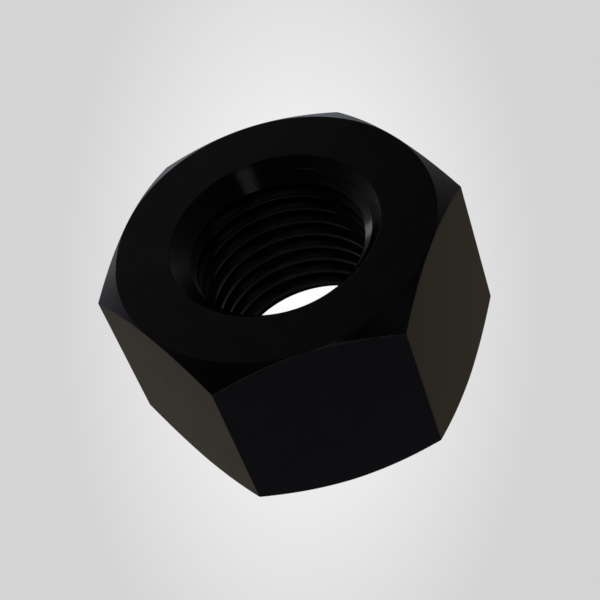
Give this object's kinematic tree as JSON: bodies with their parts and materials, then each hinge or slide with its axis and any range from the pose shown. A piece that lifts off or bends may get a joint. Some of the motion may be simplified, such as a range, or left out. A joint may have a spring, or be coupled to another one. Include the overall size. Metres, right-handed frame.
{
  "type": "heavy hex nut",
  "caption": "Heavy hexagon nut with a right-hand internal screw thread, countersunk and corner-chamfered on both faces, that screws onto a bolt or stud.",
  "frame": {"origin": "centre of the lower end face, on the thread's axis", "axes": "+Z along the thread's axis out of the upper end face, +X through a corner of the hexagon, +Y square to a flat"},
  "size_m": [0.0578, 0.05, 0.0307],
  "materials": {
    "black_steel": "smooth black oxide, satin, with a faint oiled sheen"
  },
  "bodies": {
    "root": {"hex_nut": "black_steel"}
  },
  "joints": []
}
